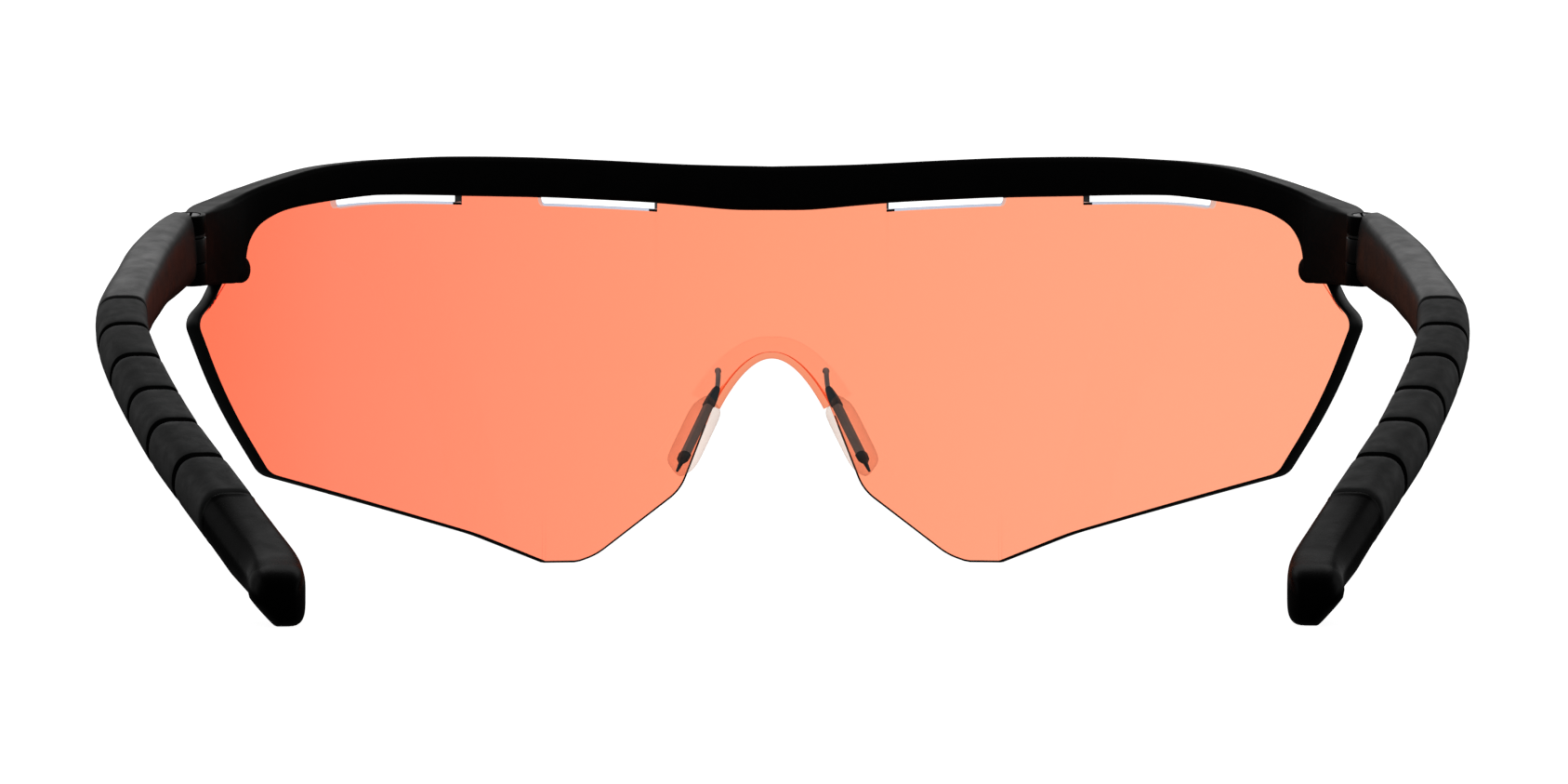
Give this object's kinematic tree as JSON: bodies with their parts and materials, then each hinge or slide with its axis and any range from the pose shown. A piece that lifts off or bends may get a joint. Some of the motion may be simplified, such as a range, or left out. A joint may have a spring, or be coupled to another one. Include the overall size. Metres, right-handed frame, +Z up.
{
  "type": "wraparound sport sunglasses",
  "caption": "Half-rim wraparound sport sunglasses with an orange shield lens, vented top edge, adjustable nose pads and folding temples with ribbed rubber sleeves.",
  "frame": {"origin": "bottom centre of the bounding box, on the surface that the glasses stand on", "axes": "+Y the way the wearer looks, +X the wearer's right, +Z up"},
  "size_m": [0.1488, 0.1667, 0.0493],
  "materials": {
    "nylon": "satin black injection-moulded nylon",
    "lens": "polished orange-tinted transparent polycarbonate",
    "clear_clip": "clear polished plastic",
    "silicone": "clear soft silicone",
    "pad_plate": "dark grey carrier plate",
    "rubber": "matte charcoal rubber with rounded grooves",
    "tip": "semi-gloss black",
    "screw_steel": "stainless steel",
    "core_steel": "stainless steel wire",
    "wire_steel": "polished stainless steel wire",
    "brass": "machined",
    "washer": "natural nylon"
  },
  "bodies": {
    "front": {"brow_frame": "nylon", "shield_lens": "lens", "nose_bridge_clip": "clear_clip", "left_hinge_screw": "screw_steel", "right_hinge_screw": "screw_steel", "left_hinge_insert": "brass", "right_hinge_insert": "brass", "left_hinge_washer": "washer", "right_hinge_washer": "washer"},
    "left_temple": {"left_temple_arm": "nylon", "left_grip_sleeve": "rubber", "left_temple_tip": "tip", "left_core_wire": "core_steel"},
    "right_temple": {"right_temple_arm": "nylon", "right_grip_sleeve": "rubber", "right_temple_tip": "tip", "right_core_wire": "core_steel"},
    "left_pad": {"left_pad_wire": "wire_steel", "left_pad_core": "pad_plate", "left_nose_pad": "silicone"},
    "right_pad": {"right_pad_wire": "wire_steel", "right_pad_core": "pad_plate", "right_nose_pad": "silicone"}
  },
  "joints": [
    {"name": "left_temple_fold", "type": "hinge", "parent": "front", "child": "left_temple", "pos_m": [-0.0676, 0.0393, 0.0376], "axis": [0, -0.2164, 0.9763], "range_deg": [0, 88]},
    {"name": "right_temple_fold", "type": "hinge", "parent": "front", "child": "right_temple", "pos_m": [0.0676, 0.0393, 0.0376], "axis": [0, 0.2164, -0.9763], "range_deg": [0, 73]},
    {"name": "left_pad_adjust", "type": "hinge", "parent": "front", "child": "left_pad", "pos_m": [-0.0066, 0.0783, 0.0233], "axis": [0, 1, 0], "range_deg": [-8, 8]},
    {"name": "right_pad_adjust", "type": "hinge", "parent": "front", "child": "right_pad", "pos_m": [0.0066, 0.0783, 0.0233], "axis": [0, -1, 0], "range_deg": [-8, 8]}
  ]
}
